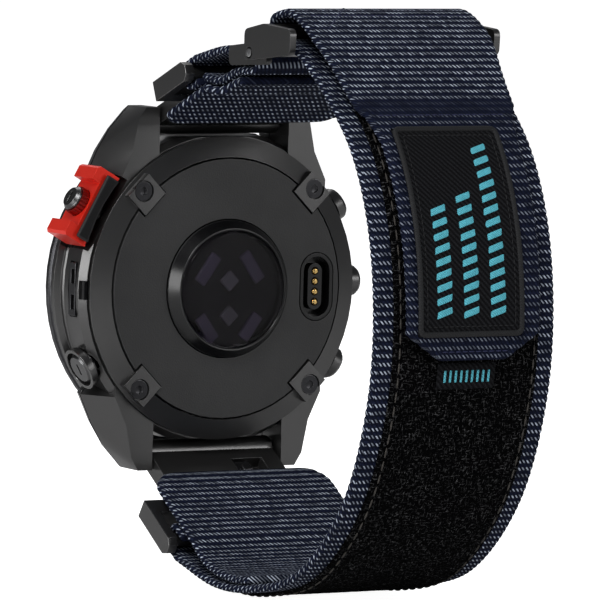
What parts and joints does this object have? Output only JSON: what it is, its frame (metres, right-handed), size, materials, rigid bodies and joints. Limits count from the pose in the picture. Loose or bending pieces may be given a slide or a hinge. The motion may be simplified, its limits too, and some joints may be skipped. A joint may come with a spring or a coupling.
{
  "type": "sports watch on a hook-and-loop strap",
  "caption": "Round wrist-worn activity tracker with a rear optical sensor, charging contacts and side buttons, on a wide nylon hook-and-loop strap closed in a loop.",
  "frame": {"origin": "centre of the sensor window's flat rear face, where the watch rests on the wrist", "axes": "+X across the wrist towards the side with three buttons, +Y from the wrist to the screen, +Z towards the twelve o'clock lugs"},
  "size_m": [0.0512, 0.0817, 0.0851],
  "materials": {
    "gunmetal": "satin gunmetal coating with a fine brushed grain",
    "dark_metal": "satin dark coating",
    "front_glass": "polished flat glass",
    "display": "gloss black display",
    "board": "green solder mask",
    "cell": "foil pouch",
    "steel": "brushed",
    "back_plate": "fine matte texture",
    "seal": "matte",
    "black_plastic": "semi-gloss black",
    "sensor_lens": "polished dark window",
    "optics": "smoked filter",
    "contacts": "gold plated",
    "red_guard": "red anodised with a satin sheen",
    "webbing": "woven navy nylon with rows of pale flecks",
    "pile": "black hook-and-loop pile",
    "patch": "black woven label with stitched edge"
  },
  "bodies": {
    "watch_head": {"mid_case": "gunmetal", "front_shell": "gunmetal", "bezel": "dark_metal", "front_glass": "front_glass", "display_module": "display", "main_board": "board", "battery": "cell", "vibration_motor": "steel", "back_cover": "gunmetal", "rear_screw_1": "dark_metal", "rear_screw_2": "dark_metal", "rear_screw_3": "dark_metal", "rear_screw_4": "dark_metal", "back_plate": "back_plate", "back_gasket": "seal", "sensor_ring": "black_plastic", "sensor_lens": "sensor_lens", "optic_window_1": "optics", "optic_window_2": "optics", "optic_window_3": "optics", "optic_window_4": "optics", "optic_window_5": "optics", "optic_window_6": "optics", "sensor_board": "board", "charge_port": "black_plastic", "contact_pin_1": "contacts", "contact_pin_2": "contacts", "contact_pin_3": "contacts", "contact_pin_4": "contacts", "start_guard": "red_guard", "guard_rail_back": "black_plastic", "guard_rail_front": "black_plastic", "lower_collar": "gunmetal", "speaker_grille": "dark_metal", "lug_pin_top": "steel", "lug_pin_bottom": "steel"},
    "upper_right_button": {"upper_right_button": "dark_metal"},
    "middle_right_button": {"middle_right_button": "dark_metal"},
    "lower_right_button": {"lower_right_button": "dark_metal"},
    "start_button": {"start_button": "steel"},
    "lower_left_button": {"lower_left_button": "steel"},
    "short_band": {"connector_top": "gunmetal", "short_strap": "webbing", "short_strap_liner": "webbing", "hinge_frame": "gunmetal"},
    "top_latch": {"release_latch_top": "dark_metal"},
    "buckle_ring": {"swing_ring": "gunmetal", "ring_hinge_pin": "steel"},
    "bottom_link": {"connector_bottom": "gunmetal"},
    "bottom_latch": {"release_latch_bottom": "dark_metal"},
    "long_band": {"main_strap": "webbing", "loop_pad": "pile", "main_strap_liner": "webbing", "side_tag": "patch"},
    "tail": {"tail_strap": "webbing", "hook_pad": "pile", "patch": "patch"}
  },
  "joints": [
    {"name": "upper_right_press", "type": "slide", "parent": "watch_head", "child": "upper_right_button", "axis": [-0.8704, 0, -0.4924], "range_m": [0, 0.0008], "stiffness_N_per_m": 2000, "springref_m": -0.0006},
    {"name": "middle_right_press", "type": "slide", "parent": "watch_head", "child": "middle_right_button", "axis": [-0.9998, 0, -0.0175], "range_m": [0, 0.0008], "stiffness_N_per_m": 2000, "springref_m": -0.0006},
    {"name": "lower_right_press", "type": "slide", "parent": "watch_head", "child": "lower_right_button", "axis": [-0.8704, 0, 0.4924], "range_m": [0, 0.0008], "stiffness_N_per_m": 2000, "springref_m": -0.0006},
    {"name": "start_press", "type": "slide", "parent": "watch_head", "child": "start_button", "axis": [0.8704, 0, -0.4924], "range_m": [0, 0.0008], "stiffness_N_per_m": 2000, "springref_m": -0.0006},
    {"name": "lower_left_press", "type": "slide", "parent": "watch_head", "child": "lower_left_button", "axis": [0.8788, 0, 0.4772], "range_m": [0, 0.0008], "stiffness_N_per_m": 2000, "springref_m": -0.0006},
    {"name": "lug_top_hinge", "type": "hinge", "parent": "watch_head", "child": "short_band", "pos_m": [0, 0.0075, 0.0246], "axis": [1, 0, 0], "range_deg": [-3, 3]},
    {"name": "ring_hinge", "type": "hinge", "parent": "short_band", "child": "buckle_ring", "pos_m": [0, -0.0322, 0.0367], "axis": [1, 0, 0], "range_deg": [-7, 7]},
    {"name": "lug_bottom_hinge", "type": "hinge", "parent": "watch_head", "child": "bottom_link", "pos_m": [0, 0.0075, -0.0246], "axis": [1, 0, 0], "range_deg": [-5.5, 5.5]},
    {"name": "bottom_bar_hinge", "type": "hinge", "parent": "bottom_link", "child": "long_band", "pos_m": [0, -0.00927, -0.03549], "axis": [1, 0, 0], "range_deg": [-4.5, 4.5]},
    {"name": "tail_peel", "type": "hinge", "parent": "long_band", "child": "tail", "pos_m": [0, -0.0352, 0.0402], "axis": [-1, 0, 0], "range_deg": [0, 50]},
    {"name": "top_latch_slide", "type": "slide", "parent": "short_band", "child": "top_latch", "axis": [1, 0, 0], "range_m": [0, 0.002], "stiffness_N_per_m": 500, "springref_m": -0.0006},
    {"name": "bottom_latch_slide", "type": "slide", "parent": "bottom_link", "child": "bottom_latch", "axis": [1, 0, 0], "range_m": [0, 0.002], "stiffness_N_per_m": 500, "springref_m": -0.0006}
  ],
  "couplings": [
    {"joint": "ring_hinge", "follows": "lug_top_hinge", "ratio": -2},
    {"joint": "lug_bottom_hinge", "follows": "lug_top_hinge", "ratio": 1.6394},
    {"joint": "bottom_bar_hinge", "follows": "lug_top_hinge", "ratio": -1.2845}
  ]
}
